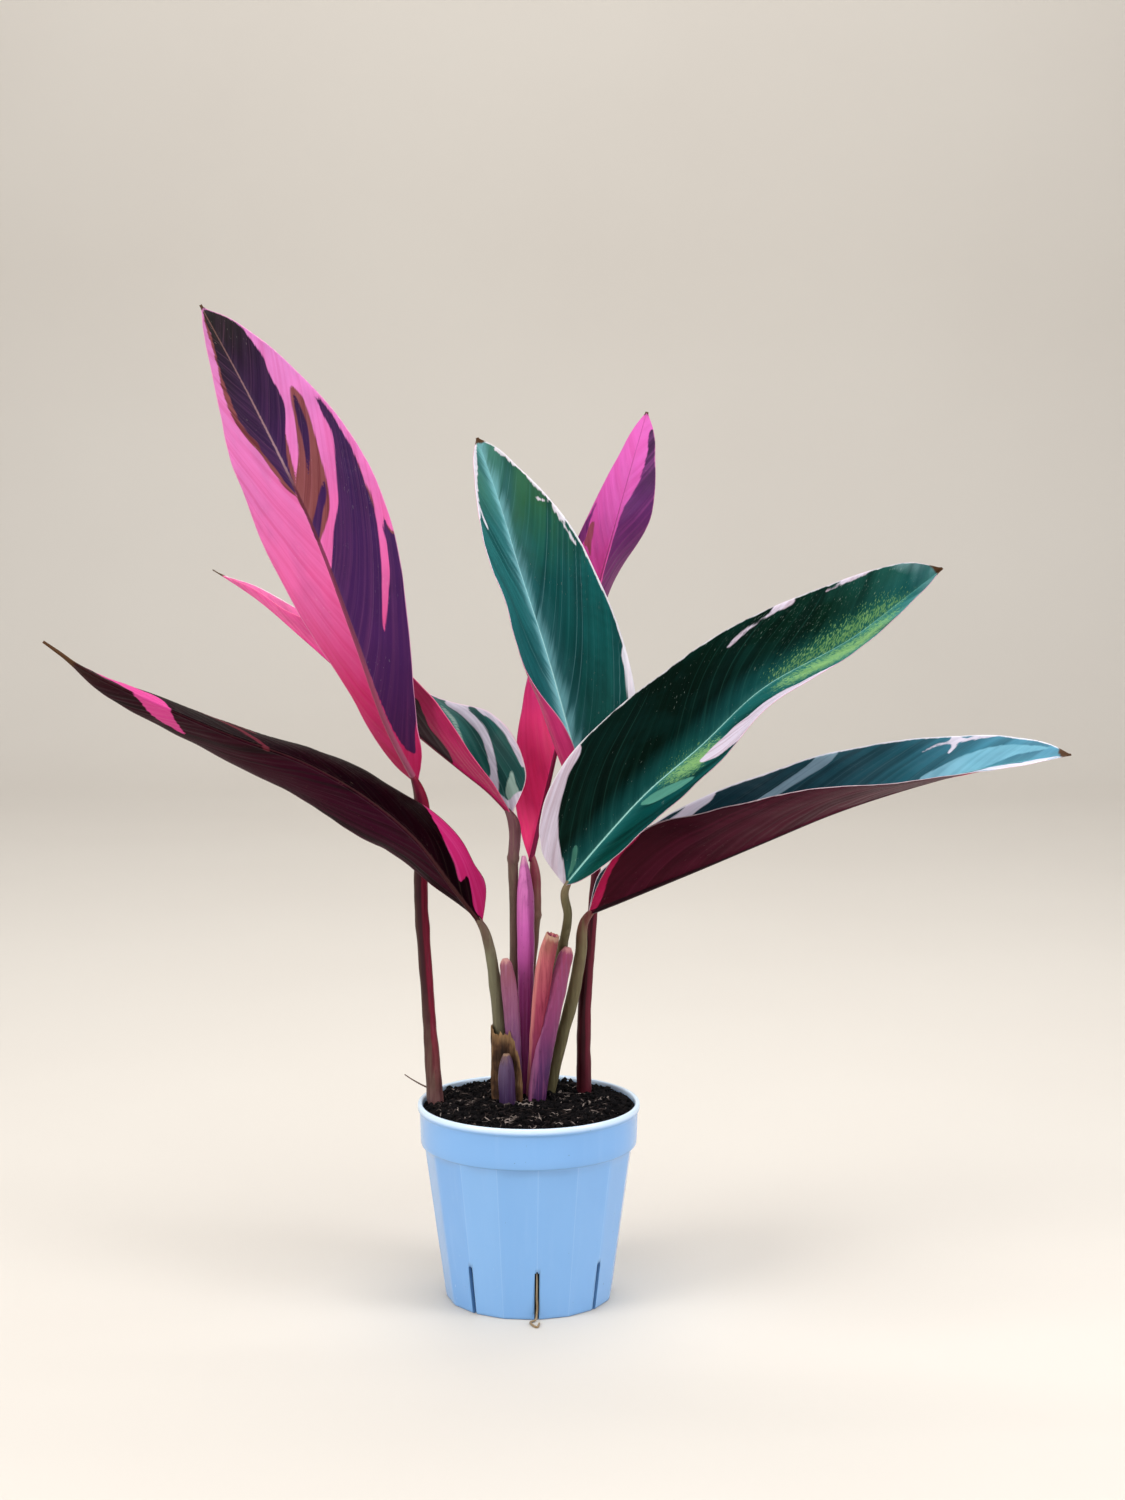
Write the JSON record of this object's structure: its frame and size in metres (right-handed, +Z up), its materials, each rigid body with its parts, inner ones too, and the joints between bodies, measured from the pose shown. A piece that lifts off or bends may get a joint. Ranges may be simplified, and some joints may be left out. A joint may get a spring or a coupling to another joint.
{
  "type": "potted stromanthe triostar plant",
  "caption": "Variegated stromanthe triostar with long green, white and pink leaves on slim stems, growing in a round pale blue faceted nursery pot filled with peat.",
  "frame": {"origin": "middle of the pot's flat underside", "axes": "+Z up, +X to the right of the front view, +Y away from the front"},
  "size_m": [0.4597, 0.1433, 0.4633],
  "materials": {
    "pot_plastic": "smooth moulded pale blue plastic, lightly scuffed",
    "peat": "dark crumbly peat with pale brown fibres",
    "leaf": "satin leaf, teal green with cream streaks above, pink and purple below",
    "stem": "smooth olive to dark red stem",
    "sheath": "ribbed pink to purple leaf sheath",
    "dry_sheath": "dry papery brown",
    "root": "thin pale brown root"
  },
  "bodies": {
    "root": {"pot": "pot_plastic", "soil": "peat", "leaf_a": "leaf", "leaf_b": "leaf", "leaf_c": "leaf", "leaf_d": "leaf", "leaf_e": "leaf", "leaf_f": "leaf", "leaf_g": "leaf", "stem_a": "stem", "stem_b": "stem", "stem_c": "stem", "stem_d": "stem", "stem_e": "stem", "stem_f": "stem", "stem_g": "stem", "sheath_b": "sheath", "sheath_e": "sheath", "sheath_f": "sheath", "sheath_g": "sheath", "sheath_stub": "sheath", "dry_sheath": "dry_sheath", "drain_root": "root", "rim_root": "root"}
  },
  "joints": []
}
